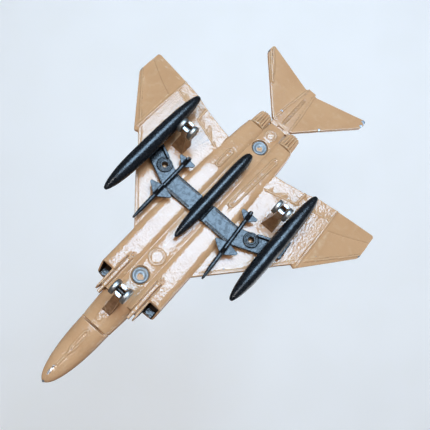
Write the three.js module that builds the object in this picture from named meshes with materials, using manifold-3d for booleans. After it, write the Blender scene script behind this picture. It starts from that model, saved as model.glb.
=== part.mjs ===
// A pocket-size die-cast toy of a twin-engine jet fighter, standing on its wheels.
// Millimetres, +Z up, nose towards -Y, the toy's left wing towards +X. The origin is the middle of the
// toy's bounding box, on the surface that it stands on. Two zinc castings meet along a seam and are held
// by two rivets, and a one-piece tailplane and the exhaust nozzles are trapped between them. A plastic
// bar under the wing carries the tanks and missiles. Each leg holds an axle with two metal wheels.
import * as THREE from "three";
import { mergeVertices } from "three/addons/utils/BufferGeometryUtils.js";
import Module from "manifold-3d";

const wasm = await Module();
wasm.setup();

// ---- driving dimensions -------------------------------------------------------------------------------
const NOSE_Y = -55.2;            // tip of the nose
const TIP_Z = 11.3;              // height of the nose tip
const NOSE_LENGTH = 16.5;        // the rounded cone, up to the full forward fuselage
const NOSE_HALF = 4.05;          // half width where the cone ends
const BELLY_Z = 9.1;             // underside of the fuselage
const PAD_Z = 8.8;               // flat underside of the engine trunks, where the stores bar sits
const PLATE_FRONT_Y = -38.2;     // front edge of the lower casting, behind the nose
const REAR_Y = 35.3;             // rear edge of the lower casting
const SEAM_Z = 11.1;             // parting line of the castings along the wing's upper face
const SEAM_GAP = 0.12;
const PLATE_GAP = 0.45;          // the wider gap in front of the lower casting
const WING_Z = 9.6;              // underside of the flat inner wing
const FOLD_X = 27.6;             // where the outer panels turn up
const TIP_THICK = 1.1;
const DIHEDRAL = THREE.MathUtils.degToRad(11);
const ANHEDRAL = THREE.MathUtils.degToRad(9);
const TAIL_PLATE_Z = 13.0;       // underside of the tailplane's middle plate
const TAIL_THICK = 1.0;
const BOOM_Z = 14.1;             // flat underside of the tail boom
const TRUNK_INNER = 2.6;         // inner side of each engine trunk
const NOZZLE = { x: 5.2, y: 31.6, z: 13.4, radius: 2.5, length: 5.0 };
const WHEEL = { radius: 2.0, width: 1.2, bore: 0.55, boreDepth: 0.85 };
const AXLE_R = 0.45;
const RIVET = { ys: [-22.3, 26.3], seats: [9.8, 11.7], radius: 2.1, head: 0.5, shank: 1.2 };
const BAR_Z = [7.75, 8.8];       // the stores bar, from below to above
const STAKE = { x: 14.9, y: 3.0, radius: 0.5 };
const FIT = 0.3;                 // clearance where one piece sits in another

const LEGS = [
  { name: "nose", x: 0, y: -28.9, root: BELLY_Z, base: [-34.4, -31.2], halfFoot: 1.0, halfBase: 1.3 },
  { name: "left", x: 15.9, y: 12.4, root: WING_Z, base: [8.9, 12.6], halfFoot: 0.9, halfBase: 1.95 },
  { name: "right", x: -15.9, y: 12.4, root: WING_Z, base: [8.9, 12.6], halfFoot: 0.9, halfBase: 1.95 },
];

// ---- helpers ------------------------------------------------------------------------------------------
function solid(geometry) {
  const bare = geometry.clone();
  bare.deleteAttribute("normal");
  bare.deleteAttribute("uv");
  const merged = mergeVertices(bare, 1e-4);
  return new wasm.Manifold(new wasm.Mesh({
    numProp: 3,
    vertProperties: new Float32Array(merged.attributes.position.array),
    triVerts: new Uint32Array(merged.index.array),
  }));
}

function geometryOf(body) {
  const mesh = body.getMesh();
  const geometry = new THREE.BufferGeometry();
  geometry.setAttribute("position", new THREE.BufferAttribute(new Float32Array(mesh.vertProperties), 3));
  geometry.setIndex(new THREE.BufferAttribute(new Uint32Array(mesh.triVerts), 1));
  geometry.computeVertexNormals();
  return geometry;
}

function join(bodies) {
  return bodies.reduce((all, body) => all.add(body));
}

function cut(body, tools) {
  return tools.reduce((rest, tool) => rest.subtract(tool), body);
}

function mirrorX(body) {
  return body.mirror([1, 0, 0]);
}

// The same feature on the toy's left and, mirrored, on its right.
function pair(body) {
  return body.add(mirrorX(body));
}

function block([x0, x1], [y0, y1], [z0, z1]) {
  const box = new THREE.BoxGeometry(x1 - x0, y1 - y0, z1 - z0);
  return solid(box.translate((x0 + x1) / 2, (y0 + y1) / 2, (z0 + z1) / 2));
}

function extrude(points, depth) {
  const shape = new THREE.Shape(points.map(([a, b]) => new THREE.Vector2(a, b)));
  return new THREE.ExtrudeGeometry(shape, { depth, bevelEnabled: false });
}

// An outline in X and Y, between two heights.
function slab(points, [z0, z1]) {
  return solid(extrude(points, z1 - z0).translate(0, 0, z0));
}

// An outline in Y and Z, the side view, between two X positions.
function sideSlab(points, [x0, x1]) {
  const turn = new THREE.Matrix4().set(0, 0, 1, x0, 1, 0, 0, 0, 0, 1, 0, 0, 0, 0, 0, 1);
  return solid(extrude(points, x1 - x0).applyMatrix4(turn));
}

// An outline in X and Z, the front view, between two Y positions.
function frontSlab(points, [y0, y1]) {
  return solid(extrude(points, y1 - y0).rotateX(Math.PI / 2).translate(0, y1, 0));
}

// A turned shape on the vertical axis; its profile lists [radius, height] from the bottom up.
function turned(profile, sides = 24) {
  const points = profile.map(([radius, height]) => new THREE.Vector2(radius, height));
  return new THREE.LatheGeometry(points, sides).rotateX(Math.PI / 2);
}

function disc(radius, [z0, z1], sides = 24) {
  return turned([[0, z0], [radius, z0], [radius, z1], [0, z1]], sides);
}

function alongX(geometry) {
  return geometry.rotateY(Math.PI / 2);
}

function alongY(geometry) {
  return geometry.rotateX(-Math.PI / 2);
}

// A body lofted along Y through rounded rectangles, one for each row; power sets how square they are.
function loft(rows, power, sides) {
  const last = rows.length - 1;
  const geometry = new THREE.CylinderGeometry(1, 1, last, sides, last);
  const place = geometry.attributes.position;
  const round = (value) => Math.sign(value) * Math.abs(value) ** (2 / power);
  for (let i = 0; i < place.count; i += 1) {
    const { y, x = 0, half, bottom, top } = rows[Math.round(place.getY(i) + last / 2)];
    const width = x + half * round(place.getX(i));
    const height = (top + bottom) / 2 + ((top - bottom) / 2) * round(place.getZ(i));
    place.setXYZ(i, width, y, height);
  }
  return solid(geometry);
}

// ---- fuselage and engine trunks ---------------------------------------------------------------------------
function noseRow(t) {
  const swell = Math.sqrt(1 - (1 - t) ** 2);
  const bottom = TIP_Z - (TIP_Z - BELLY_Z) * swell;
  return { y: NOSE_Y + t * NOSE_LENGTH, half: NOSE_HALF * swell, bottom, top: TIP_Z + 4.9 * swell };
}

function fuselage() {
  const nose = [0.001, 0.015, 0.05, 0.12, 0.22, 0.36, 0.54, 0.76, 1].map(noseRow);
  const rest = [
    [-34, 4.45, 9.1, 16.9], [-28, 4.9, 9.1, 17.7], [-20, 5.3, 9.1, 18.3], [-8, 5.5, 9.1, 19.4],
    [4, 5.5, 9.1, 20.1], [14, 5.4, 9.3, 19.7], [22, 5.2, 10.2, 18.9], [28, 4.8, 11.0, 18.1],
    [REAR_Y, 3.5, 11.6, 17.4],
  ].map(([y, half, bottom, top]) => ({ y, half, bottom, top }));
  return loft([...nose, ...rest], 2.7, 32);
}

function boom() {
  const rows = [[31, 3.4, 17.4], [36, 3.3, 17.0], [42, 2.7, 16.6], [48, 2.0, 16.1], [52.8, 1.35, 15.6]];
  return loft(rows.map(([y, half, top]) => ({ y, half, bottom: BOOM_Z, top })), 5, 20);
}

function trunk() {
  const rows = [
    [-30, 9.6, 8.8, 16.2], [-14, 9.6, 8.8, 16.6], [0, 9.3, 8.8, 16.8], [12, 8.9, 8.8, 16.8],
    [22, 8.6, 9.8, 16.8], [28, 8.3, 10.6, 16.6], [31.2, 7.9, 11.0, 16.2],
  ].map(([y, outer, bottom, top]) => (
    { y, x: (TRUNK_INNER + outer) / 2, half: (outer - TRUNK_INNER) / 2, bottom, top }
  ));
  return loft(rows, 5.5, 28);
}

// The intake mouth leans forward towards its top, so this takes away what stands in front of it.
function mouthCut() {
  return sideSlab([[-34, 6], [-25.3, 6], [-25.3, PAD_Z], [-28.6, 17.2], [-34, 17.2]], [5.55, 12]);
}

function duct() {
  return block([6.3, 8.95], [-32, -18], [9.75, 15.6]);
}

// The thin plate that stands in front of each intake, clear of the fuselage side.
function splitter() {
  return sideSlab([[-31.7, 10.4], [-30.9, 9.2], [-22, 9.2], [-22, 16], [-29.4, 16]], [5.75, 6.2]);
}

function fin() {
  return sideSlab([[19, 18], [24, 19.9], [38.5, 30.2], [40.5, 30.9], [48.8, 30.9], [51.5, 15]], [-0.7, 0.7]);
}

// Everything below the castings' seam, which climbs towards the tail.
function belowSeam(raise, front) {
  return sideSlab([
    [PLATE_FRONT_Y - front, 0], [PLATE_FRONT_Y - front, 10.4 + raise], [-33, 10.9 + raise],
    [-26, SEAM_Z + raise], [18, SEAM_Z + raise], [25, 13.5 + raise], [60, 13.5 + raise], [60, 0],
  ], [-60, 60]);
}

// The seat, bore and blind hole for one rivet.
function rivetRoom(y, seat) {
  const { radius, shank } = RIVET;
  return [
    solid(disc(radius + FIT, [seat - 4, seat]).translate(0, y, 0)),
    solid(disc(shank + FIT, [seat - 1, seat + 5.3]).translate(0, y, 0)),
  ];
}

function nozzleRoom() {
  const stub = disc(1.6 + FIT, [-4.3, 0]);
  const face = disc(NOZZLE.radius + FIT, [-FIT, 9]);
  const place = (geometry) => solid(alongY(geometry).translate(NOZZLE.x, NOZZLE.y, NOZZLE.z));
  return [stub, face].map((geometry) => pair(place(geometry)));
}

// Three pockets in the castings' meeting faces, with ribs left between them; the belly rises over the last.
function pockets() {
  return [[-8, 1.4, 10.3], [2.7, 12.1, 10.3], [13.4, 18.4, 10.9]].map(([front, back, floor]) => (
    block([-3.4, 3.4], [front, back], [floor, 17])
  ));
}

const rawBody = join([fuselage(), pair(trunk()), boom()]);
const rivetRooms = RIVET.ys.flatMap((y, i) => rivetRoom(y, RIVET.seats[i]));
const body = cut(cut(rawBody, [pair(mouthCut()), pair(duct())]).add(pair(splitter())), [
  ...rivetRooms, ...nozzleRoom(), ...pockets(),
]);

function upperCasting() {
  const tailRoom = block([-5, 5], [35.3, 60], [10, BOOM_Z]);
  const deck = block([-3.5, 3.5], [-33.6, -7], [17, 30]);
  return cut(body.add(fin()), [belowSeam(SEAM_GAP, PLATE_GAP), tailRoom, deck]);
}

// ---- lower casting, with the wing -----------------------------------------------------------------------
function innerWing() {
  const half = [
    [8.4, -15.6], [19.3, -3.4], [24.2, 2.8], [FOLD_X, 6.6],
    [FOLD_X, 26.3], [22, 25.5], [18.5, 24.2], [11.5, 22.6], [8.3, 22.1],
  ];
  return pair(slab(half, [WING_Z, SEAM_Z]));
}

// The outer panel, with its stepped leading edge, turned up about the fold line.
function outerWing() {
  const outline = [[-0.4, 5.9], [0.7, 5.6], [13.1, 20.9], [12.9, 29.1], [-0.4, 26.3]];
  const panel = extrude(outline, TIP_THICK).rotateY(-DIHEDRAL).translate(FOLD_X, 0, WING_Z + 0.2);
  return pair(solid(panel));
}

// The long raised bar beside the nose leg, and the small ring behind it.
function forwardBar() {
  const bar = block([4.4, 5.2], [-32, -21.2], [BELLY_Z - 0.55, 10.6]);
  const ring = turned([[0, 8.6], [0.75, 8.6], [0.75, 10.6], [0, 10.6]], 16).translate(4.75, -19.8, 0);
  return pair(bar.add(solid(ring)));
}

function stake() {
  return pair(solid(disc(STAKE.radius, [8.9, WING_Z + 0.5], 16).translate(STAKE.x, STAKE.y, 0)));
}

function lowerCasting() {
  const frontDisc = solid(disc(2.2, [BELLY_Z - 0.2, 10]).translate(0, -16.2, 0));
  const rearDisc = solid(disc(1.8, [11.0, 12.5]).translate(0, 31.4, 0));
  return join([
    body.intersect(belowSeam(0, 0)), innerWing(), outerWing(), forwardBar(), stake(), frontDisc, rearDisc,
  ]);
}

// ---- tailplane and nozzles --------------------------------------------------------------------------------
function tailplane() {
  const middle = pair(slab([[0, 35.8], [3.2, 35.8], [2.7, 42], [1.35, 52.8], [0, 52.8]], [13, 14]));
  const outline = [[-1.2, 37.4], [0.4, 37.4], [15.1, 52.3], [15, 55.2], [-1.2, 52.1], [-1.8, 44]];
  const root = 3.0;
  const surface = extrude(outline, TAIL_THICK).rotateY(ANHEDRAL).translate(root, 0, TAIL_PLATE_Z);
  const roots = pair(slab([[0, 37.4], [3.1, 37.4], [3.1, 44], [2.2, 52.1], [0, 52.1]], [13, 14]));
  const above = block([-3.4, 3.4], [30, 60], [TAIL_PLATE_Z + TAIL_THICK, 16]);
  return join([middle, roots, pair(solid(surface))]).subtract(above);
}

function nozzle(side) {
  const { radius, length } = NOZZLE;
  const profile = [
    [0, -4], [1.6, -4], [1.6, 0], [radius, 0], [radius, 0.9], [radius - 0.15, 1.0],
    [radius - 0.5, length], [radius - 0.9, length], [radius - 0.8, 1.4], [0, 1.4],
  ];
  return solid(alongY(turned(profile, 28)).translate(side * NOZZLE.x, NOZZLE.y, NOZZLE.z));
}

// ---- cockpit ------------------------------------------------------------------------------------------
function canopyDome(inset) {
  const rows = [
    [-33.2, 0.9, 17.7], [-31.4, 2.1, 19.3], [-28.4, 2.9, 21.3], [-24.5, 3.2, 22.4],
    [-18, 3.3, 22.5], [-12, 3.1, 21.5], [-7.3, 2.7, 20.2],
  ].map(([y, half, top]) => {
    const middle = -20.2;
    const height = top - 17 - inset;
    return {
      y: middle + (y - middle) * (1 - inset / 13), half: Math.max(half - inset, 0.3),
      bottom: 17 - Math.max(height, 0.3), top: 17 + Math.max(height, 0.3),
    };
  });
  return loft(rows, 2.3, 28);
}

function canopy() {
  const room = block([-9, 9], [-40, 0], [17, 30]);
  return canopyDome(0).subtract(canopyDome(0.55)).intersect(room);
}

function cockpitTub() {
  const floor = block([-1.9, 1.9], [-28.4, -10], [17, 17.9]);
  const seats = [-22.5, -14].map((y) => sideSlab(
    [[y - 2.6, 17.5], [y - 2.6, 18.3], [y, 18.5], [y + 0.5, 20.3], [y + 1.5, 20.3], [y + 1.5, 17.5]], [-1.1, 1.1],
  ));
  const panels = [-27.6, -18.6].map((y) => block([-1.6, 1.6], [y, y + 1.1], [17.5, 18.9]));
  return join([floor, ...seats, ...panels]);
}

// ---- rivets -------------------------------------------------------------------------------------------
function rivet(y, seat) {
  const { radius, head, shank } = RIVET;
  const profile = [
    [0, seat - head - 0.15], [radius * 0.6, seat - head - 0.1], [radius - 0.15, seat - head + 0.1],
    [radius, seat - head + 0.25], [radius, seat], [shank, seat], [shank, seat + 5], [0, seat + 5],
  ];
  return solid(turned(profile).translate(0, y, 0));
}

// ---- stores under the wing ----------------------------------------------------------------------------
function storesBar() {
  const half = [
    [0, -1.8], [10.9, -1.9], [18.5, 1.4], [23.8, 4.3], [23.3, 10], [19.6, 7.2], [17.4, 6.1], [10.8, 3.5], [0, 3.5],
  ];
  const plate = pair(slab(half, BAR_Z));
  const boss = pair(solid(disc(2.05, [BAR_Z[0] - 0.35, WING_Z]).translate(STAKE.x, STAKE.y, 0)));
  const rib = pair(slab([[15.5, 4.6], [19.3, 6.3], [19.0, 7.0], [15.2, 5.3]], [BAR_Z[0] - 0.8, BAR_Z[1]]));
  const trough = block([-2, 2], [-5, 8], [6, 8.3]);
  const bores = pair(solid(disc(STAKE.radius + FIT, [6, 11], 16).translate(STAKE.x, STAKE.y, 0)));
  return cut(join([plate, boss, rib]), [trough, bores]);
}

const TANK_NOSE = [[0, 0], [0.2, 0.004], [0.44, 0.035], [0.7, 0.1], [0.89, 0.19], [0.98, 0.3], [1, 0.42], [1, 0.6]];
const SLIM_TAIL = [[0.93, 0.74], [0.78, 0.86], [0.56, 0.945], [0.3, 0.99], [0, 1]];
const BLUNT_TAIL = [[0.99, 0.78], [0.93, 0.88], [0.78, 0.945], [0.5, 0.985], [0, 1]];

// A drop tank: a long ogive in front, a straight middle and a rounded tail, turned about the Y axis.
function tank(x, z, front, length, radius, tail) {
  const profile = [...TANK_NOSE, ...tail].map(([r, t]) => [r * radius, t * length]);
  return solid(alongY(turned(profile, 20)).translate(x, front, z));
}

function wingTank(side) {
  const pylon = block([side * 20.5 - 0.5, side * 20.5 + 0.5], [2.6, 8.6], [5, BAR_Z[0]]);
  return tank(side * 20.5, 4.35, -13.1, 35.9, 2.15, SLIM_TAIL).add(pylon);
}

// A slim missile with four delta wings at its middle and four small fins at its tail.
function missile(noseX, tailX) {
  const length = 22.1;
  const half = 0.2;
  const rod = turned([[0, 0], [0.3, 0.4], [0.5, 2.5], [0.6, 4], [0.6, length - 0.3], [0.45, length], [0, length]], 12);
  const wing = [[0, 7.7], [3.4, 10.2], [3.4, 10.8], [0.8, 11.4], [-0.8, 11.4], [-3.4, 10.8], [-3.4, 10.2]];
  const tailFin = [[0, 18.6], [2.4, 20.6], [2.4, 21.3], [0.6, 21.5], [-0.6, 21.5], [-2.4, 21.3], [-2.4, 20.6]];
  const flat = [wing, tailFin].map((outline) => solid(extrude(outline, 2 * half).translate(0, 0, -half)));
  const upright = [[wing, 1.35], [tailFin, 1.35]].map(([outline, reach]) => (
    solid(extrude(outline, 2 * half).translate(0, 0, -half).rotateY(Math.PI / 2))
      .intersect(block([-1, 1], [0, length], [-reach * 1.6, reach]))
  ));
  const toe = THREE.MathUtils.radToDeg(Math.atan2(noseX - tailX, length));
  return join([solid(alongY(rod)), ...flat, ...upright]).rotate([0, 0, toe]).translate([noseX, -13.3, 6.95]);
}

// ---- landing gear ---------------------------------------------------------------------------------------
const FOOT = { half: 1.5, bottom: 0.4, top: 4.4, grooveHalf: 0.6, grooveTop: 2.65 };

// A raked leg: its side view and its front view meet, and a groove in its foot takes the axle.
function leg({ x, y, root, base: [front, back], halfFoot, halfBase }) {
  const side = sideSlab([
    [y - FOOT.half, FOOT.bottom], [y + FOOT.half, FOOT.bottom], [y + FOOT.half, FOOT.top - 0.6],
    [back, root], [front, root], [y - FOOT.half, FOOT.top],
  ], [x - 5, x + 5]);
  const face = frontSlab([
    [x - halfFoot, FOOT.bottom], [x + halfFoot, FOOT.bottom], [x + halfFoot, FOOT.top],
    [x + halfBase, root], [x - halfBase, root], [x - halfFoot, FOOT.top],
  ], [y - 9, y + 9]);
  const groove = block([x - 5, x + 5], [y - FOOT.grooveHalf, y + FOOT.grooveHalf], [0, FOOT.grooveTop]);
  return side.intersect(face).subtract(groove);
}

function wheelFace(halfFoot) {
  return halfFoot + 0.12;
}

function axle({ x, y, halfFoot }) {
  const reach = wheelFace(halfFoot) + WHEEL.boreDepth - 0.1;
  return solid(alongX(disc(AXLE_R, [-reach, reach], 16)).translate(x, y, WHEEL.radius));
}

function wheel({ x, y, halfFoot }, side) {
  const { radius, width, bore, boreDepth } = WHEEL;
  const profile = [
    [0, boreDepth], [bore, boreDepth], [bore, 0], [radius - 0.15, 0], [radius, 0.12], [radius, width - 0.12],
    [radius - 0.15, width], [1.25, width], [1.1, width - 0.15], [0, width - 0.15],
  ];
  const body = solid(alongX(turned(profile, 24)).translate(wheelFace(halfFoot), 0, 0));
  return (side > 0 ? body : mirrorX(body)).translate([x, y, WHEEL.radius]);
}

// ---- the assembly -----------------------------------------------------------------------------------------
const FINISH = {
  paint: { color: 0xc4a27c, roughness: 0.3, metalness: 0.1 },
  metal: { color: 0x9fa3a6, roughness: 0.35, metalness: 1 },
  black: { color: 0x0b0c0e, roughness: 0.25, metalness: 0 },
  clear: { color: 0x4a4f52, roughness: 0.08, metalness: 0, transparent: true, opacity: 0.45 },
};

const toy = new THREE.Group();

function add(name, finish, shape) {
  const mesh = new THREE.Mesh(geometryOf(shape), new THREE.MeshStandardMaterial(FINISH[finish]));
  mesh.name = name;
  toy.add(mesh);
}

add("upper_casting", "paint", upperCasting());
add("lower_casting", "paint", lowerCasting());
add("tailplane", "paint", tailplane());
add("left_nozzle", "paint", nozzle(1));
add("right_nozzle", "paint", nozzle(-1));
add("cockpit_tub", "black", cockpitTub());
add("canopy", "clear", canopy());
add("front_rivet", "metal", rivet(RIVET.ys[0], RIVET.seats[0]));
add("rear_rivet", "metal", rivet(RIVET.ys[1], RIVET.seats[1]));
add("stores_bar", "black", storesBar());
add("centre_tank", "black", tank(0, 6.45, -9.9, 30.7, 1.75, BLUNT_TAIL));
add("left_tank", "black", wingTank(1));
add("right_tank", "black", wingTank(-1));
add("left_missile", "black", missile(11.0, 11.2));
add("right_missile", "black", missile(-12.0, -10.3));
for (const place of LEGS) {
  add(`${place.name}_gear_leg`, "paint", leg(place));
  add(`${place.name}_axle`, "metal", axle(place));
  add(`${place.name}_gear_left_wheel`, "metal", wheel(place, 1));
  add(`${place.name}_gear_right_wheel`, "metal", wheel(place, -1));
}

export default toy;
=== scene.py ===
"""A pocket-size die-cast jet fighter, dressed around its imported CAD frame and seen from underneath."""

import math

import bmesh
import bpy
import numpy as np
from mathutils import Matrix, Vector


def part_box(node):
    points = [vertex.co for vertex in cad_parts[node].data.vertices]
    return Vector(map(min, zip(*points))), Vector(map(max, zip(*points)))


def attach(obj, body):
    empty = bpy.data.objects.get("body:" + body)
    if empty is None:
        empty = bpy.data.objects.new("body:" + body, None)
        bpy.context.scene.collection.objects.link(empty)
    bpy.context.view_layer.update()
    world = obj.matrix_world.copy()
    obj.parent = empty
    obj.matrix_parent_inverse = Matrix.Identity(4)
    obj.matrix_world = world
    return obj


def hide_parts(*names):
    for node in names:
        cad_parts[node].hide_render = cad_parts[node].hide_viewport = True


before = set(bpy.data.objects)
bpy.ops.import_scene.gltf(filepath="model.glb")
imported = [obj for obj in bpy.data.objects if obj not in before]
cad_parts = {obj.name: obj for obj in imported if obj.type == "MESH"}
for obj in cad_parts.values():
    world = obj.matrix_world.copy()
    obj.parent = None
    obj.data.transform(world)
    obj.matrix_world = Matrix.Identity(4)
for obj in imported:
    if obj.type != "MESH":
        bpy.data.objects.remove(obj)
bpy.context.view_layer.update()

# Shapes are worked out in millimetres, and scaled to metres when they become pieces.
MM = 0.001
COARSE = 1.0
FACE_LIMIT = 180_000                     # triangles in one piece
AIRFRAME = "airframe"
LEGS = ("nose", "left", "right")
ANYWHERE = (-99, 99)                     # reach of a line that isn't held to a band of heights
FACING = 0.6                             # how squarely a surface faces a side to take that side's lines


# ---- mesh tools ----------------------------------------------------------------------------------------
def cad_mesh(node):
    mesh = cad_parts[node].data.copy()
    mesh.materials.clear()
    mesh.transform(Matrix.Scale(1 / MM, 4))
    return mesh


def cad_box(node):
    low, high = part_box(node)
    return low / MM, high / MM


def read(mesh, collection, name, width):
    values = np.empty(len(collection) * width, np.float32)
    collection.foreach_get(name, values)
    return values.reshape(-1, width).astype(float)


def points_of(mesh):
    return read(mesh, mesh.vertices, "co", 3)


def normals_of(mesh):
    return read(mesh, mesh.vertex_normals, "vector", 3)


def move_points(mesh, points):
    mesh.vertices.foreach_set("co", points.astype(np.float32).ravel())
    mesh.update()


def with_modifier(mesh, kind, **settings):
    holder = bpy.data.objects.new("holder", mesh)
    bpy.context.scene.collection.objects.link(holder)
    modifier = holder.modifiers.new(kind, kind)
    for key, value in settings.items():
        setattr(modifier, key, value)
    graph = bpy.context.evaluated_depsgraph_get()
    result = bpy.data.meshes.new_from_object(holder.evaluated_get(graph))
    bpy.data.objects.remove(holder)
    return result


def joined(meshes):
    bm = bmesh.new()
    for mesh in meshes:
        bm.from_mesh(mesh)
    result = bpy.data.meshes.new("joined")
    bm.to_mesh(result)
    bm.free()
    return result


def lathe(profile, sides, swell=None):
    """A turned solid about Z from [radius, height] rows; swell(angle, height) scales the radius."""
    bm = bmesh.new()
    rings = []
    for radius, height in profile:
        if radius < 1e-6:
            rings.append([bm.verts.new((0, 0, height))])
            continue
        ring = []
        for i in range(sides):
            angle = math.tau * i / sides
            r = radius * (swell(angle, height) if swell else 1)
            ring.append(bm.verts.new((r * math.cos(angle), r * math.sin(angle), height)))
        rings.append(ring)
    for low, high in zip(rings, rings[1:]):
        for i in range(sides):
            j = (i + 1) % sides
            corners = [low[i % len(low)], low[j % len(low)], high[j % len(high)], high[i % len(high)]]
            bm.faces.new(list(dict.fromkeys(corners)))
    bmesh.ops.recalc_face_normals(bm, faces=bm.faces)
    mesh = bpy.data.meshes.new("lathe")
    bm.to_mesh(mesh)
    bm.free()
    return mesh


def curved(rows, steps):
    """The rows joined by a smooth curve, with steps points for each gap between them."""
    rows = np.array(rows, float)
    padded = np.vstack([rows[0], rows, rows[-1]])
    result = []
    for a, b, c, d in zip(padded, padded[1:], padded[2:], padded[3:]):
        for t in np.arange(steps) / steps:
            result.append(0.5 * (2 * b + (c - a) * t + (2 * a - 5 * b + 4 * c - d) * t**2
                                 + (3 * b - a - 3 * c + d) * t**3))
    result.append(rows[-1])
    return [[max(float(r), 0), float(z)] for r, z in result]


def placed(mesh, direction, origin):
    """Turns a lathe's Z axis to the direction, and puts its foot at the origin."""
    turn = Vector((0, 0, 1)).rotation_difference(Vector(direction)).to_matrix().to_4x4()
    mesh.transform(Matrix.Translation(origin) @ turn)
    return mesh


def block(low, high):
    bm = bmesh.new()
    bmesh.ops.create_cube(bm, size=1)
    low, high = Vector(low), Vector(high)
    for v in bm.verts:
        v.co = (low + high) / 2 + Vector(a * b for a, b in zip(v.co, high - low))
    mesh = bpy.data.meshes.new("block")
    bm.to_mesh(mesh)
    bm.free()
    return mesh


def rounded_tips(mesh, beyond, radius):
    """The upright edges further out than beyond on each side are rounded, as seen from above."""
    bm = bmesh.new()
    bm.from_mesh(mesh)
    bmesh.ops.remove_doubles(bm, verts=bm.verts, dist=0.001)
    bmesh.ops.dissolve_limit(bm, angle_limit=math.radians(1), verts=bm.verts, edges=bm.edges)
    upright = []
    for edge in bm.edges:
        a, b = (v.co for v in edge.verts)
        across, height = (a - b).to_2d().length, abs(a.z - b.z)
        if min(abs(a.x), abs(b.x)) > beyond and height > 0.3 and across < 0.5 * height:
            upright.append(edge)
    bmesh.ops.bevel(bm, geom=upright, offset=radius, segments=5, profile=0.5, affect="EDGES")
    bm.to_mesh(mesh)
    bm.free()
    return mesh


def cast(meshes, voxel, rounds, crease):
    """One closed skin round the meshes, as a casting comes out of its mould: edges rounded, flats smooth.
    What bends by less than crease degrees from one point to the next is smoothed for that many rounds."""
    mesh = with_modifier(joined(meshes), "REMESH", mode="VOXEL", voxel_size=voxel * COARSE)
    points, normals = points_of(mesh), normals_of(mesh)
    ends = np.empty(len(mesh.edges) * 2, np.int32)
    mesh.edges.foreach_get("vertices", ends)
    a, b = ends.reshape(-1, 2).T
    count = len(points)
    degree = np.bincount(a, minlength=count) + np.bincount(b, minlength=count)
    bend = np.degrees(np.arccos(np.clip((normals[a] * normals[b]).sum(1), -1, 1)))
    sharpest = np.zeros(count)
    np.maximum.at(sharpest, a, bend)
    np.maximum.at(sharpest, b, bend)
    free = np.clip((crease - sharpest) / (0.3 * crease), 0, 1)[:, None]
    for i in range(rounds + 2):
        total = np.empty_like(points)
        for k in range(3):
            total[:, k] = np.bincount(a, points[b, k], count) + np.bincount(b, points[a, k], count)
        share = 0.5 * (free if i >= 2 else 1)          # the first two rounds round every edge a little
        points += share * (total / degree[:, None] - points)
    move_points(mesh, points)
    return mesh


# ---- relief on the castings: raised and engraved lines -------------------------------------------------
SIDES = {"below": (0, 1, 2, -1), "above": (0, 1, 2, 1), "left": (1, 2, 0, 1), "right": (1, 2, 0, -1)}


def line(side, points, half, height, reach=ANYWHERE, both=True):
    lines = [(side, points, half, height, reach)]
    if both and side in ("below", "above"):
        lines.append((side, [(-x, y) for x, y in points], half, height, reach))
    elif both:
        other = "right" if side == "left" else "left"
        lines.append((other, points, half, height, (-reach[1], -reach[0])))
    return lines


def circle(side, centre, radius, half, height, reach=ANYWHERE, both=True):
    ring = [(centre[0] + radius * math.cos(t), centre[1] + radius * math.sin(t))
            for t in np.linspace(0, math.tau, 33)]
    return line(side, ring, half, height, reach, both)


def distance_to_path(points, path):
    best = np.full(len(points), 1e9)
    for start, end in zip(path, path[1:]):
        start, along = np.array(start, float), np.subtract(end, start)
        share = np.clip(((points - start) @ along) / max(along @ along, 1e-9), 0, 1)
        best = np.minimum(best, np.linalg.norm(points - start - share[:, None] * along, axis=1))
    return best


def emboss(mesh, lines, slope=0.10):
    points, normals = points_of(mesh), normals_of(mesh)
    moved = points.copy()
    for side, path, half, height, reach in lines:
        i, j, k, sign = SIDES[side]
        rows = np.array(path, float)
        margin = half + slope
        near = np.nonzero(
            (normals[:, k] * sign > FACING) & (points[:, k] > reach[0]) & (points[:, k] < reach[1])
            & (points[:, i] > rows[:, 0].min() - margin) & (points[:, i] < rows[:, 0].max() + margin)
            & (points[:, j] > rows[:, 1].min() - margin) & (points[:, j] < rows[:, 1].max() + margin))[0]
        if not len(near):
            continue
        distance = distance_to_path(points[near][:, [i, j]], path)
        t = np.clip((margin - distance) / slope, 0, 1)
        moved[near, k] += sign * height * t * t * (3 - 2 * t)
    move_points(mesh, moved)
    return mesh


# ---- pieces --------------------------------------------------------------------------------------------
def thinned(mesh):
    triangles = sum(len(p.vertices) - 2 for p in mesh.polygons)
    if triangles <= FACE_LIMIT:
        return mesh
    return with_modifier(mesh, "DECIMATE", ratio=FACE_LIMIT / triangles)


def piece(name, mesh, body, material, stands_for=None):
    mesh = thinned(mesh)
    mesh.transform(Matrix.Scale(MM, 4))
    mesh.materials.clear()
    mesh.materials.append(material)
    mesh.polygons.foreach_set("use_smooth", [True] * len(mesh.polygons))
    mesh.name = name
    obj = bpy.data.objects.new(name, mesh)
    bpy.context.scene.collection.objects.link(obj)
    weighted = obj.modifiers.new("weighted", "WEIGHTED_NORMAL")
    weighted.weight = 50
    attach(obj, body)
    if stands_for:
        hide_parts(stands_for)
    return obj


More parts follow.
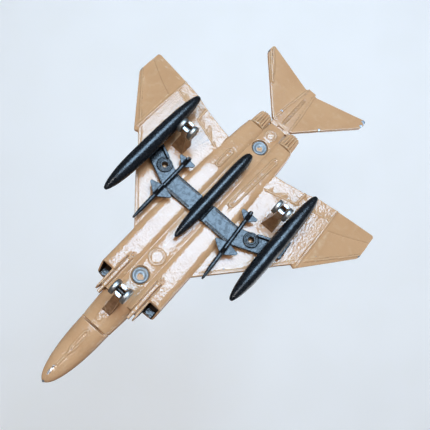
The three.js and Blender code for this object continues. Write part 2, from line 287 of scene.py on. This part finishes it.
# ---- materials -----------------------------------------------------------------------------------------
class Finish:
    """A procedural material, put together from the object's own coordinates in metres."""

    def __init__(self, name, **uniform):
        self.material = bpy.data.materials.new(name)
        self.material.use_nodes = True
        self.tree = self.material.node_tree
        self.tree.nodes.clear()
        self.out = self.node("OutputMaterial")
        self.shader = self.node("BsdfPrincipled")
        self.link(self.shader.outputs[0], self.out.inputs[0])
        self.place = self.node("TexCoord").outputs["Object"]
        self.geometry = self.node("NewGeometry")
        for key, value in uniform.items():
            self.shader.inputs[key.replace("_", " ")].default_value = value

    def node(self, kind, **settings):
        node = self.tree.nodes.new("ShaderNode" + kind)
        for key, value in settings.items():
            setattr(node, key, value)
        return node

    def link(self, source, target):
        self.tree.links.new(source, target)

    def feed(self, socket, value):
        if isinstance(value, bpy.types.NodeSocket):
            self.link(value, socket)
        else:
            socket.default_value = value

    def noise(self, size_mm, detail=2.0, roughness=0.5, stretch=None):
        place = self.place
        if stretch:
            mapping = self.node("Mapping")
            mapping.inputs["Scale"].default_value = stretch
            self.link(place, mapping.inputs["Vector"])
            place = mapping.outputs[0]
        node = self.node("TexNoise")
        self.link(place, node.inputs["Vector"])
        node.inputs["Scale"].default_value = 1 / (size_mm * MM)
        node.inputs["Detail"].default_value = detail
        node.inputs["Roughness"].default_value = roughness
        return node.outputs["Fac"]

    def ramp(self, value, low, high, to_low=0.0, to_high=1.0):
        node = self.node("MapRange", interpolation_type="SMOOTHSTEP")
        for socket, number in zip(node.inputs, (value, low, high, to_low, to_high)):
            self.feed(socket, number)
        return node.outputs[0]

    def maths(self, operation, a, b=0.0, clamp=True):
        """Sums and differences stay between 0 and 1, unless clamp is off."""
        held = clamp and operation in ("ADD", "SUBTRACT")
        node = self.node("Math", operation=operation, use_clamp=held)
        self.feed(node.inputs[0], a)
        self.feed(node.inputs[1], b)
        return node.outputs[0]

    def mix(self, share, a, b):
        node = self.node("Mix", data_type="RGBA")
        self.feed(node.inputs[0], share)
        self.feed(node.inputs[6], (*a, 1) if isinstance(a, tuple) else a)
        self.feed(node.inputs[7], (*b, 1) if isinstance(b, tuple) else b)
        return node.outputs[2]

    def bump(self, height, depth_mm, under=None, invert=False):
        node = self.node("Bump", invert=invert)
        node.inputs["Strength"].default_value = 1
        node.inputs["Distance"].default_value = depth_mm * MM
        self.link(height, node.inputs["Height"])
        if under:
            self.link(under, node.inputs["Normal"])
        return node.outputs[0]

    def spot(self, centre, radii, turn=0.0, ragged=0.0, boxy=False):
        """1 inside an ellipsoid or box, given in millimetres and turned about Z, and 0 outside."""
        mapping = self.node("Mapping", vector_type="TEXTURE")
        mapping.inputs["Location"].default_value = Vector(centre) * MM
        mapping.inputs["Rotation"].default_value = (0, 0, math.radians(turn))
        mapping.inputs["Scale"].default_value = Vector(radii) * MM
        self.link(self.place, mapping.inputs["Vector"])
        if boxy:
            size = self.node("VectorMath", operation="ABSOLUTE")
            split = self.node("SeparateXYZ")
            self.link(mapping.outputs[0], size.inputs[0])
            self.link(size.outputs[0], split.inputs[0])
            widest = self.maths("MAXIMUM", split.outputs[0], split.outputs[1])
            return self.ramp(self.maths("MAXIMUM", widest, split.outputs[2]), 1.03, 0.97)
        length = self.node("VectorMath", operation="LENGTH")
        self.link(mapping.outputs[0], length.inputs[0])
        distance = length.outputs["Value"]
        if ragged:
            wander = self.ramp(self.noise(0.5, 4, 0.6), 0.3, 0.7, -ragged, ragged)
            distance = self.maths("ADD", distance, wander, clamp=False)
        return self.ramp(distance, 1.06, 0.94)

    def edges(self, low, high):
        """Picks out ridges where low is below high, and hollows where it is above."""
        return self.ramp(self.geometry.outputs["Pointiness"], low, high)


TAN = (0.490, 0.272, 0.134)
TAN_PALE = (0.560, 0.370, 0.215)
TAN_DEEP = (0.458, 0.246, 0.118)
UMBER = (0.150, 0.070, 0.034)
DARK_BROWN = (0.130, 0.075, 0.040)
ZINC = (0.470, 0.490, 0.520)
SHADE = (0.012, 0.008, 0.006)            # inside the intakes
HOLLOW_DARK = (0.030, 0.028, 0.025)           # in the hollows of bare metal
DUST = (0.090, 0.095, 0.100)             # lying on the black plastic
SCUFF = (0.100, 0.105, 0.110)            # its worn edges

# Inside the intakes the paint is darkened to near black as painted shade: centre and radii of each box.
SHADED = [((side * 7.6, -23.0, 12.7), (1.50, 8.0, 3.15)) for side in (1, -1)]

WHEEL_PLACES = [
    ((low.x + high.x) / 2, (low.y + high.y) / 2) for low, high in (cad_box(f"{leg}_axle") for leg in LEGS)
]

# Where paint has come off: centre, radii, and turn about Z in degrees.
BARE_SPOTS = [
    ((0.3, -52.1, 9.9), (0.30, 1.55, 2.0), -4),            # under the nose tip
    ((-0.1, -55.0, 11.3), (0.5, 0.35, 0.8), 0),           # the tip itself
    ((-9.3, -29.3, 9.4), (0.5, 0.8, 0.8), 30),            # corner of the right intake
    ((-17.5, 54.6, 11.0), (0.9, 0.7, 1.0), 45),           # tailplane tips
    ((-17.7, 52.6, 11.0), (0.7, 0.4, 1.0), 45),
    ((-9.1, 43.5, 12.2), (0.5, 0.35, 0.8), 45),
    ((17.8, 52.4, 11.0), (0.5, 0.4, 1.0), 45),
    ((2.9, 41.0, 13.0), (0.4, 0.25, 0.5), 0),
    ((-40.4, 21.5, 12.3), (0.4, 0.7, 0.8), 40),           # wing tips
    ((40.4, 21.7, 12.3), (0.35, 0.5, 0.8), -40),
    *[((x, y - 1.05, 0.5), (0.85, 0.42, 0.75), 0) for x, y in WHEEL_PLACES],      # feet of the legs
    *[((x, y + 1.05, 0.4), (0.80, 0.40, 0.45), 0) for x, y in WHEEL_PLACES],
]


def paint_finish(name, painted_shade=0.0, relief=1.0):
    f = Finish(name, IOR=1.5)
    tone = f.mix(f.ramp(f.noise(9, 3), 0.35, 0.65), TAN, TAN_DEEP)
    tone = f.mix(f.ramp(f.noise(2.2, 3), 0.5, 0.8, 0, 0.35), tone, TAN_PALE)
    # painted shade: the paint darkens towards umber in mottled patches, standing in for shade and dark
    # reflections on the legs
    if painted_shade:
        tone = f.mix(f.ramp(f.noise(1.3, 3), 0.25, 0.7, painted_shade, 0.6 * painted_shade), tone, UMBER)
    worn = f.ramp(f.noise(1.4, 3), 0.35, 0.65, 0.1, 0.8)
    tone = f.mix(f.maths("MULTIPLY", f.edges(0.505, 0.56), worn), tone, TAN_PALE)
    # darker in the hollows, in patches
    hollow_share = f.ramp(f.noise(1.1, 3), 0.3, 0.6, 0.25, 0.85)
    tone = f.mix(f.maths("MULTIPLY", f.edges(0.492, 0.44), hollow_share), tone, DARK_BROWN)
    dust = f.maths("MULTIPLY", f.ramp(f.noise(0.28, 2), 0.68, 0.76), 0.35)
    tone = f.mix(dust, tone, DARK_BROWN)
    for centre, radii in SHADED:
        # painted shade inside the intakes: the paint darkens to near black in each box
        inside = f.maths("MULTIPLY", f.spot(centre, radii, boxy=True), 0.96)
        tone = f.mix(inside, tone, SHADE)
    chips = f.maths("MULTIPLY", f.edges(0.535, 0.58), f.ramp(f.noise(0.9, 5, 0.65), 0.63, 0.67))
    for centre, radii, turn in BARE_SPOTS:
        chips = f.maths("MAXIMUM", chips, f.spot(centre, radii, turn, ragged=0.35))
    metal = f.mix(f.ramp(f.noise(0.3, 3), 0.3, 0.7), ZINC, tuple(0.55 * c for c in ZINC))
    f.link(f.mix(chips, tone, metal), f.shader.inputs["Base Color"])
    f.link(f.maths("MULTIPLY", chips, 0.85), f.shader.inputs["Metallic"])
    gloss = f.ramp(f.noise(0.9, 3), 0.3, 0.7, 0.08, 0.15)
    f.link(f.maths("ADD", gloss, f.maths("MULTIPLY", chips, 0.18)), f.shader.inputs["Roughness"])
    flow = f.bump(f.noise(2.4, 2), 0.09 * relief)
    peel = f.bump(f.noise(0.60, 2, 0.5), 0.055 * relief, flow)
    f.link(f.bump(chips, 0.05, peel, invert=True), f.shader.inputs["Normal"])
    return f.material


def black_finish(name, body, gloss):
    f = Finish(name, IOR=1.44)
    grain = f.noise(0.35, 3, 0.6)
    dust = f.ramp(f.noise(0.45, 4, 0.65), 0.60, 0.72, 0, 0.22)
    tone = f.mix(f.ramp(f.noise(3, 3), 0.3, 0.7), body, tuple(1.6 * c for c in body))
    tone = f.mix(f.maths("MULTIPLY", f.edges(0.51, 0.57), 0.10), tone, SCUFF)
    f.link(f.mix(dust, tone, DUST), f.shader.inputs["Base Color"])
    f.link(f.ramp(f.noise(0.8, 4, 0.6), 0.3, 0.7, gloss, gloss + 0.22), f.shader.inputs["Roughness"])
    flow = f.bump(f.noise(1.8, 2), 0.06)
    f.link(f.bump(grain, 0.04, flow), f.shader.inputs["Normal"])
    return f.material


def metal_finish(name, base, gloss, patches=(), polish=1.0):
    f = Finish(name)
    scratch = f.noise(0.5, 4, 0.6, stretch=(1, 4, 4))
    tone = f.mix(f.ramp(f.noise(0.7, 4), 0.3, 0.7), base, tuple(0.72 * c for c in base))
    # darker in the hollows of the metal
    tone = f.mix(f.ramp(f.geometry.outputs["Pointiness"], 0.49, 0.44, 0, 0.8), tone, HOLLOW_DARK)
    rough = f.ramp(scratch, 0.3, 0.7, gloss, gloss + 0.16)
    patch = None
    for centre, radii in patches:
        spot = f.spot(centre, radii, ragged=0.3)
        patch = f.maths("MAXIMUM", patch, spot) if patch else spot
    if patch:
        f.link(f.mix(patch, tone, TAN), f.shader.inputs["Base Color"])
        f.link(f.ramp(patch, 0, 1, polish, 0), f.shader.inputs["Metallic"])
    else:
        f.link(tone, f.shader.inputs["Base Color"])
        f.shader.inputs["Metallic"].default_value = 1
    f.link(rough, f.shader.inputs["Roughness"])
    f.link(f.bump(scratch, 0.02, f.bump(f.noise(0.9, 3), 0.04)), f.shader.inputs["Normal"])
    return f.material


HOOPS = [-31.2, -26.2, -19.2, -12.3]     # painted frames across the canopy, along Y
HOOP_PAINT = (0.42, 0.36)                # distances from a frame's middle where its paint ends and is solid
SILL_PAINT = (17.75, 17.60)              # heights where the paint round the sill ends and is solid


def canopy_finish():
    f = Finish("smoked_clear_plastic", IOR=1.46)
    split = f.node("SeparateXYZ")
    f.link(f.place, split.inputs[0])
    hoops = f.ramp(split.outputs["Z"], *(height * MM for height in SILL_PAINT))
    for y in HOOPS:
        away = f.maths("ABSOLUTE", f.maths("SUBTRACT", split.outputs["Y"], y * MM, clamp=False))
        hoops = f.maths("MAXIMUM", hoops, f.ramp(away, *(reach * MM for reach in HOOP_PAINT)))
    worn = f.maths("MULTIPLY", hoops, f.ramp(f.noise(0.8, 4, 0.6), 0.28, 0.34))
    tone = f.mix(f.ramp(f.noise(4, 2), 0.3, 0.7), (0.42, 0.45, 0.47), (0.50, 0.53, 0.55))
    f.link(f.mix(worn, tone, TAN), f.shader.inputs["Base Color"])
    f.link(f.maths("SUBTRACT", 1.0, worn), f.shader.inputs["Transmission Weight"])
    f.link(f.ramp(f.noise(0.7, 4, 0.65), 0.45, 0.75, 0.03, 0.16), f.shader.inputs["Roughness"])
    f.link(f.bump(f.noise(3, 2), 0.02), f.shader.inputs["Normal"])
    return f.material


RIVETS = ("front_rivet", "rear_rivet")
RIVET_Y = {name: sum(corner.y for corner in cad_box(name)) / 2 for name in RIVETS}
RIVET_Z = {name: cad_box(name)[0].z for name in RIVETS}
# A fleck of tan paint left in the middle of each rivet.
FLECKS = [((-0.25, RIVET_Y[name] - 0.3, RIVET_Z[name]), (0.85, 0.75, 0.6)) for name in RIVETS]

PAINT = paint_finish("tan_enamel")
# the legs' paint carries painted shade and painted reflection, darker towards umber
LEG_PAINT = paint_finish("tan_enamel_shaded", painted_shade=0.9)
TAIL_PAINT = paint_finish("tan_enamel_smooth", relief=0.4)
BLACK = black_finish("black_plastic", (0.0040, 0.0048, 0.0060), 0.14)
TUB = black_finish("dark_plastic", (0.018, 0.018, 0.019), 0.34)
RIVET = metal_finish("rivet_metal", (0.26, 0.27, 0.27), 0.40, FLECKS, polish=0.5)
STEEL = metal_finish("wheel_metal", (0.42, 0.40, 0.375), 0.35)
PIN = metal_finish("axle_metal", (0.10, 0.095, 0.09), 0.35)
CLEAR = canopy_finish()


# ---- the castings --------------------------------------------------------------------------------------
CASTING = (0.15, 60, 17)                 # voxel, rounds and crease of the large castings
TAILPLANE = (0.11, 40, 17)
GEAR_LEG = (0.075, 10, 20)
WING = (9.0, 13.5)                       # heights between which the wing's undersides lie

lower_lines = [
    *line("below", [(28.35, 6.7), (27.75, 26.3)], 0.20, 0.20, WING),          # fold of the outer panel
    *line("below", [(29.2, 9.0), (40.3, 21.9)], 0.14, 0.20, WING),            # back edge of the slat
    *line("below", [(29.0, 20.2), (33.4, 22.4), (39.8, 26.2)], 0.12, -0.12, WING),
    *line("below", [(9.0, 17.0), (17.8, 19.8), (17.9, 24.0)], 0.16, 0.22, WING),
    *line("below", [(19.4, 20.4), (27.3, 22.6)], 0.12, 0.16, WING),
    *line("below", [(10.6, -12.0), (19.9, -1.9), (27.2, 7.4)], 0.10, -0.08, WING),
    *line("above", [(28.2, 6.7), (27.6, 26.3)], 0.14, -0.12, (10, 14)),
    *line("above", [(29.4, 9.3), (39.9, 21.6)], 0.12, -0.12, (10, 16)),
    *line("above", [(28.6, 20.4), (40.0, 25.4)], 0.12, -0.12, (10, 16)),
    *line("above", [(10.0, 16.6), (18.4, 19.0), (27.4, 21.6)], 0.12, -0.12, (10, 12)),
    *line("above", [(18.4, 19.0), (18.4, 24.2)], 0.12, -0.12, (10, 12)),
    *line("above", [(12.0, -8.6), (26.9, 9.0)], 0.12, -0.12, (10, 12)),
    *circle("below", (4.75, -19.8), 0.42, 0.14, -0.25, (8.2, 9.4)),
    *circle("below", (0, -16.2), 1.75, 0.12, -0.10, (8.4, 9.4), both=False),
    *circle("below", (0.2, -36.2), 0.3, 0.45, 0.16, (8, 10), both=False),             # bumps on the plate
    *circle("below", (1.1, -35.5), 0.1, 0.20, 0.12, (8, 10), both=False),
    *circle("below", (-1.1, -35.0), 0.1, 0.16, 0.10, (8, 10), both=False),
    *line("below", [(4.14, -33.0), (4.14, -20.6)], 0.08, -0.40, (8.2, 10)),
    *line("below", [(5.48, -31.5), (5.48, -20.8)], 0.12, -0.60, (8.2, 10)),
    *circle("below", (0, 31.4), 1.25, 0.12, -0.12, (10.4, 11.4), both=False),
]


def pad_height(y):
    return float(np.interp(y, [12, 22, 28, 31.2], [8.8, 9.8, 10.6, 11.0]))


# A plain raised strip with a sunk middle on the flat underside of each engine trunk.
for side, first, last, drift in ((-1, 7.2, 25.6, 0.047), (1, 13.6, 18.8, 0.0)):
    ends = [(side * 5.0, first), (side * (5.0 + drift * (last - first)), last)]
    reach = (pad_height(first) - 1, pad_height(last) + 1)
    lower_lines += line("below", ends, 0.80, 0.36, reach, both=False)
    lower_lines += line("below", ends, 0.42, -0.24, reach, both=False)

lower = rounded_tips(cad_mesh("lower_casting"), beyond=39.0, radius=0.9)
lower = emboss(cast([lower], *CASTING), lower_lines)
piece("lower_casting_skin", lower, AIRFRAME, PAINT, "lower_casting")

upper_lines = [
    *line("left", [(44.6, 16.0), (46.0, 30.6)], 0.12, -0.14, (0.2, 1.2)),                    # rudder
    *line("left", [(30.0, 23.2), (45.2, 23.2)], 0.10, -0.10, (0.2, 1.2)),
    *line("left", [(37.8, 28.6), (46.0, 28.6)], 0.10, -0.10, (0.2, 1.2)),
    *line("above", [(0, -6.2), (0, 19.0)], 0.12, 0.12, (17, 21), both=False),                # spine
    *line("above", [(2.9, -4), (2.6, 26)], 0.10, -0.12, (15, 21)),
    *line("above", [(-3.0, 2.0), (3.0, 2.0)], 0.10, -0.12, (15, 21), both=False),
    *line("above", [(-3.0, 12.0), (3.0, 12.0)], 0.10, -0.12, (15, 21), both=False),
    *line("above", [(6.3, -24), (6.3, 26)], 0.10, -0.12, (15, 18)),
    *line("above", [(4.9, -9), (9.2, -9)], 0.10, -0.12, (15, 18)),
    *line("above", [(4.9, 8), (8.6, 8)], 0.10, -0.12, (15, 18)),
    *line("above", [(4.9, 21), (8.2, 21)], 0.10, -0.12, (15, 18)),
    *line("left", [(-37.8, 10.0), (-37.8, 16.8)], 0.10, -0.12, (2.5, 6)),
    *line("left", [(-24.0, 14.2), (26.0, 14.2)], 0.10, -0.12, (6, 11)),
]
chin_beads = [
    *line("below", [(-0.1, -46.6), (0.5, -45.4), (0.6, -40.8), (0, -40.0), (-0.6, -40.8), (-0.5, -45.4),
                    (-0.1, -46.6)], 0.06, 0.22, (8, 12), both=False),
    *line("below", [(0.1, -50.0), (0, -46.8)], 0.05, 0.20, (8, 13), both=False),
]
upper = emboss(cast([cad_mesh("upper_casting")], *CASTING), upper_lines)
upper = emboss(upper, chin_beads, slope=0.30)
piece("upper_casting_skin", upper, AIRFRAME, PAINT, "upper_casting")

tail_lines = [
    *line("below", [(2.95, 37.4), (2.55, 43), (1.35, 52.4)], 0.22, 0.28),                    # edge ridges
    *line("below", [(0, 38.6), (0, 48.5)], 0.45, -0.30, (12.5, 13.6), both=False),           # centre groove
    *line("below", [(0.4, 36.4), (-0.9, 36.4)], 0.35, -0.45, (12.5, 13.6), both=False),      # slot
    *line("above", [(10.9, 46.2), (17.2, 54.2)], 0.12, -0.12),
    *line("above", [(4.6, 50.6), (16.9, 53.4)], 0.12, -0.12),
]
stiffeners = [
    *line("below", [(10.6, 45.8), (17.3, 52.8)], 0.10, 0.42, both=False),
    *line("below", [(12.2, 48.2), (17.2, 54.1)], 0.06, 0.36, both=False),
]
tail = rounded_tips(cad_mesh("tailplane"), beyond=17.5, radius=0.8)
tail = emboss(cast([tail], *TAILPLANE), tail_lines)
tail = emboss(tail, stiffeners, slope=0.45)
piece("tailplane_skin", tail, AIRFRAME, TAIL_PAINT, "tailplane")

# ---- exhaust nozzles -----------------------------------------------------------------------------------
PETALS = 14
PETAL_START = 0.5                        # height at which the grooves between petals begin
SPIGOT = 4.0                             # length of the plug that goes into the trunk


def petals(angle, height):
    if height < PETAL_START:
        return 1
    groove = (0.5 + 0.5 * math.cos(PETALS * angle)) ** 1.3
    return 1 - 0.20 * groove * min((height - PETAL_START) / 0.2, 1)


for side in ("left", "right"):
    low, high = cad_box(f"{side}_nozzle")
    radius, length = (high.x - low.x) / 2, high.y - low.y - SPIGOT
    profile = [
        (0, -SPIGOT), (1.6, -SPIGOT), (1.6, 0), (radius - 0.12, 0), (radius, 0.12), (radius, 0.4),
        (radius - 0.10, 0.5), (radius - 0.10, 0.6), (radius - 0.11, 1.0), (radius - 0.2, 2.4),
        (radius - 0.32, 3.6),
        (radius - 0.48, length - 0.1), (radius - 0.56, length), (radius - 0.84, length),
        (radius - 0.9, length - 0.1), (radius - 0.84, 3), (radius - 0.8, 1.5), (1.25, 1.4), (1.0, 1.75),
        (0.35, 1.75), (0.2, 2.2), (0, 2.3),
    ]
    foot = ((low.x + high.x) / 2, low.y + SPIGOT, (low.z + high.z) / 2)
    mesh = placed(lathe(profile, PETALS * 10, petals), (0, 1, 0), foot)
    piece(f"{side}_nozzle_petals", mesh, AIRFRAME, PAINT, f"{side}_nozzle")

# ---- rivets --------------------------------------------------------------------------------------------
for name in RIVETS:
    low, high = cad_box(name)
    radius, length = (high.x - low.x) / 2, high.z - low.z
    head = [
        (0, 0.40), (0.30, 0.36), (0.55, 0.24), (0.80, 0.20), (1.00, 0.22), (1.20, 0.17), (1.40, 0.08),
        (1.60, 0.02), (1.75, 0.0), (1.92, 0.06), (2.05, 0.20), (radius, 0.34), (radius, 0.60),
    ]
    shank = [(radius - 0.05, 0.65), (1.2, 0.65), (1.2, length), (0, length)]
    mesh = placed(lathe(curved(head, 4) + shank, 72), (0, 0, 1), (0, RIVET_Y[name], low.z))
    piece(f"{name}_spun", mesh, AIRFRAME, RIVET, name)

# ---- stores --------------------------------------------------------------------------------------------
bar_lines = [
    *circle("below", (14.9, 3.0), 1.45, 0.14, -0.14, (7.0, 7.7)),
    *line("below", [(3.0, -1.3), (10.6, -1.35)], 0.10, 0.10, (7.4, 8.0)),
    *line("below", [(3.0, 3.0), (10.6, 3.0)], 0.10, 0.10, (7.4, 8.0)),
]
bar = emboss(cast([cad_mesh("stores_bar")], 0.09, 12, 20), bar_lines, slope=0.1)
piece("stores_bar_moulding", bar, AIRFRAME, BLACK, "stores_bar")

# Outlines of the tanks: share of the radius at each share of the length.
TANK_NOSE = [
    (0, 0), (0.2, 0.004), (0.44, 0.035), (0.7, 0.1), (0.89, 0.19), (0.98, 0.3), (1, 0.42), (1, 0.6),
]
SLIM_TAIL = [(0.93, 0.74), (0.78, 0.86), (0.56, 0.945), (0.3, 0.99), (0, 1)]
BLUNT_TAIL = [(0.99, 0.78), (0.93, 0.88), (0.78, 0.945), (0.5, 0.985), (0, 1)]


MOULD_LINE = 0.02                        # the ridge left by the mould, as a share of the radius


def mould_line(angle, _height):
    return 1 + MOULD_LINE * math.exp(-(math.sin(angle) / 0.05) ** 2)


for name in ("centre_tank", "left_tank", "right_tank"):
    low, high = cad_box(name)
    radius, length, middle = (high.x - low.x) / 2, high.y - low.y, (low.x + high.x) / 2
    outline = TANK_NOSE + (BLUNT_TAIL if name == "centre_tank" else SLIM_TAIL)
    rows = curved([(r * radius / (1 + MOULD_LINE), t * length) for r, t in outline], 5)
    parts = [placed(lathe(rows, 64, mould_line), (0, 1, 0), (middle, low.y, low.z + radius))]
    if name != "centre_tank":              # the pylon that holds it to the wing
        parts.append(block((middle - 0.5, 2.6, 5.0), (middle + 0.5, 8.6, high.z)))
    piece(f"{name}_shell", cast(parts, 0.11, 6, 20), AIRFRAME, BLACK, name)

MISSILE_Z = 6.95                         # height of both missiles' centre lines

for name, nose_x, tail_x in (("left_missile", 11.0, 11.2), ("right_missile", -12.0, -10.3)):
    low, high = cad_box(name)
    start, end = Vector((nose_x, low.y, MISSILE_Z)), Vector((tail_x, high.y, MISSILE_Z))
    length = (end - start).length
    profile = [
        (0, 0), (0.2, 0.08), (0.34, 0.5), (0.5, 2.5), (0.6, 4),
        (0.6, length - 0.4), (0.45, length), (0, length),
    ]
    rod = lathe(profile, 32)
    whole = cast([cad_mesh(name), placed(rod, end - start, start)], 0.075, 4, 20)
    piece(f"{name}_moulding", whole, AIRFRAME, BLACK, name)

# ---- cockpit -------------------------------------------------------------------------------------------
tub = emboss(cast([cad_mesh("cockpit_tub")], 0.08, 6, 20), [
    *line("above", [(0.45, -24.6), (0.45, -23.0)], 0.10, -0.12),
    *line("above", [(0.45, -16.2), (0.45, -14.6)], 0.10, -0.12),
    *line("above", [(1.5, -20.6), (1.5, -11.0)], 0.16, 0.18, (17.4, 18.2)),
])
piece("cockpit_interior", tub, AIRFRAME, TUB, "cockpit_tub")

hoop_lines = []
for y in HOOPS:
    hoop_lines += line("above", [(-3.6, y), (3.6, y)], 0.34, 0.10, (17.3, 23), both=False)
dome = emboss(cast([cad_mesh("canopy")], 0.12, 60, 24), hoop_lines)
piece("canopy_shell", dome, AIRFRAME, CLEAR, "canopy")

# ---- landing gear --------------------------------------------------------------------------------------
for leg in LEGS:
    node = f"{leg}_gear_leg"
    low, high = cad_box(node)
    middle, half = (low.x + high.x) / 2, (high.x - low.x) / 2
    channel = [(middle, low.y + 1.0), (middle, high.y - 2.2)]
    lines = line("below", channel, half * 0.42, -0.22, (low.z + 2.8, high.z), both=False)
    mesh = emboss(cast([cad_mesh(node)], *GEAR_LEG), lines, slope=half * 0.45)
    piece(f"{leg}_leg_casting", mesh, AIRFRAME, LEG_PAINT, node)

    body = f"{leg}_wheels"
    node = f"{leg}_axle"
    low, high = cad_box(node)
    radius, length = (high.z - low.z) / 2, high.x - low.x
    profile = [
        (0, 0), (radius - 0.08, 0), (radius, 0.08),
        (radius, length - 0.08), (radius - 0.08, length), (0, length),
    ]
    mesh = placed(lathe(profile, 48), (1, 0, 0), (low.x, (low.y + high.y) / 2, (low.z + high.z) / 2))
    piece(f"{leg}_axle_pin", mesh, body, PIN, node)

    for side, sign in (("left", 1), ("right", -1)):
        node = f"{leg}_gear_{side}_wheel"
        low, high = cad_box(node)
        width = high.x - low.x
        profile = [
            (0, 0.85), (0.55, 0.85), (0.55, 0.04), (0.60, 0), (1.2, 0), (1.75, 0.02), (1.90, 0.08),
            (1.97, 0.2), (2.0, 0.35), (2.0, width / 2), (2.0, width - 0.35), (1.97, width - 0.2),
            (1.90, width - 0.08), (1.75, width), (1.32, width), (1.26, width - 0.03), (1.2, width - 0.14),
            (1.1, width - 0.18), (0.62, width - 0.18), (0.56, width - 0.14), (0.5, width - 0.05),
            (0.4, width - 0.02), (0, width - 0.02),
        ]
        inner = low.x if sign > 0 else high.x
        mesh = placed(lathe(profile, 64), (sign, 0, 0), (inner, (low.y + high.y) / 2, (low.z + high.z) / 2))
        piece(f"{leg}_{side}_wheel_turned", mesh, body, STEEL, node)

# ---- stage: a pale floor under the wheels, and a pale board beyond the toy as the camera sees it -------
CAMERA_AT = Vector((-0.01247, -0.03779, -0.11489))
CAMERA_TO = Vector((-0.00355, 0.00230, 0.00960))
CAMERA_UP = Vector((0.657, 0.702, -0.273))
LENS, SENSOR = 41.9, 36                  # millimetres
BOARD_AWAY, BOARD_HALF = 0.43, 0.2       # metres, as are all sizes from here on
FLOOR_SINK = 0.00005                     # keeps the floor from touching the wheels
PAPER_GLOW = (0.80, 0.78, 0.75, 1)
NEAR_GLOW = 0.05


def staged(name, points, faces):
    mesh = bpy.data.meshes.new(name)
    mesh.from_pydata(points, [], faces)
    obj = bpy.data.objects.new(name, mesh)
    bpy.context.scene.collection.objects.link(obj)
    obj.visible_glossy = obj.visible_diffuse = obj.visible_shadow = obj.visible_transmission = False
    return obj


def plane(name, centre, half, normal, up):
    forward = Vector(normal).normalized()
    right = Vector(up).cross(forward).normalized()
    top = forward.cross(right)
    corners = [tuple(centre + half * (a * right + b * top)) for a, b in ((-1, -1), (1, -1), (1, 1), (-1, 1))]
    return staged(name, corners, [(0, 1, 2, 3)])


def pale_finish(name, tone, glow, one_sided):
    f = Finish(name, Roughness=0.9, Specular_IOR_Level=0.0)
    pale = f.mix(f.ramp(f.noise(40, 3), 0.3, 0.7), tone, tuple(1.04 * c for c in tone))
    f.link(pale, f.shader.inputs["Base Color"])
    f.shader.inputs["Emission Color"].default_value = PAPER_GLOW
    f.shader.inputs["Emission Strength"].default_value = glow
    if one_sided:                          # seen from above only, and glowing far from the toy
        away = f.node("VectorMath", operation="LENGTH")
        f.link(f.place, away.inputs[0])
        far = f.ramp(away.outputs["Value"], 0.35, 0.95)
        f.link(f.mix(far, pale, (0.0, 0.0, 0.0)), f.shader.inputs["Base Color"])
        f.link(f.ramp(far, 0, 1, NEAR_GLOW, glow), f.shader.inputs["Emission Strength"])
        clear, mix = f.node("BsdfTransparent"), f.node("MixShader")
        f.link(f.geometry.outputs["Backfacing"], mix.inputs[0])
        f.link(f.shader.outputs[0], mix.inputs[1])
        f.link(clear.outputs[0], mix.inputs[2])
        f.link(mix.outputs[0], f.out.inputs[0])
    return f.material


def bowl(name, flat, rim, height, rings=24, sides=96):
    """A floor that is flat round the toy and sweeps up to a wall far from it."""
    rows = [(0.0, 0.0)] + [
        (flat + (rim - flat) * math.sin(t), height * (1 - math.cos(t)))
        for t in np.linspace(0, math.pi / 2, rings)
    ]
    points, faces = [], []
    for radius, z in rows:
        for i in range(sides):
            angle = math.tau * i / sides
            points.append((radius * math.cos(angle), radius * math.sin(angle), z - FLOOR_SINK))
    for row in range(len(rows) - 1):
        for i in range(sides):
            j = (i + 1) % sides
            a, b = row * sides, (row + 1) * sides
            faces.append((a + i, b + i, b + j, a + j))
    return staged(name, points, faces)


floor = bowl("floor", flat=0.5, rim=2.2, height=1.6)
floor.data.polygons.foreach_set("use_smooth", [True] * len(floor.data.polygons))
floor.data.materials.append(pale_finish("floor_paper", (0.60, 0.585, 0.565), 0.68, one_sided=True))
gaze = (CAMERA_TO - CAMERA_AT).normalized()
board = plane("board", CAMERA_AT + gaze * BOARD_AWAY, BOARD_HALF, -gaze, CAMERA_UP)
board.data.materials.append(pale_finish("board_paper", (0.80, 0.78, 0.75), 0.30, one_sided=False))


# ---- light and camera ----------------------------------------------------------------------------------
def area_light(name, place, target, size, power, colour, shine=True):
    lamp = bpy.data.lights.new(name, "AREA")
    lamp.shape = "RECTANGLE"
    lamp.size, lamp.size_y = size
    lamp.energy = power
    lamp.color = colour
    obj = bpy.data.objects.new(name, lamp)
    bpy.context.scene.collection.objects.link(obj)
    obj.location = place
    obj.rotation_euler = (Vector(target) - Vector(place)).to_track_quat("-Z", "Y").to_euler()
    obj.visible_camera = False
    obj.visible_glossy = shine


TOY = (0, 0, 0.012)
area_light("window_below", (0.05, 0.155, -0.50), TOY, (0.28, 0.28), 4.4, (0.49, 0.73, 1.0))
area_light("fill_below", (-0.25, 0.10, -0.60), TOY, (0.5, 0.5), 0.75, (1.0, 0.62, 0.36), shine=False)
area_light("lamp_below", (0.050, -0.172, -0.470), TOY, (0.09, 0.14), 0.9, (0.95, 0.92, 0.90))
area_light("key_above", (0.45, -0.50, 0.60), TOY, (0.9, 0.9), 8.5, (1.0, 0.98, 0.95), shine=False)
area_light("fill_above", (-0.75, 0.35, 0.50), TOY, (0.9, 0.9), 6.0, (0.92, 0.96, 1.0))

world = bpy.data.worlds.new("room")
world.use_nodes = True
background = world.node_tree.nodes["Background"]
background.inputs["Color"].default_value = (0.9, 0.93, 1.0, 1)
background.inputs["Strength"].default_value = 0.14
scene = bpy.context.scene
scene.world = world
scene.view_settings.view_transform = "Standard"

camera = bpy.data.objects.new("camera", bpy.data.cameras.new("camera"))
scene.collection.objects.link(camera)
camera.data.sensor_width, camera.data.lens = SENSOR, LENS
camera.data.clip_start, camera.data.clip_end = 0.005, 20
right = gaze.cross(CAMERA_UP).normalized()
up = right.cross(gaze)
camera.matrix_world = Matrix.Translation(CAMERA_AT) @ Matrix((right, up, -gaze)).transposed().to_4x4()
scene.camera = camera
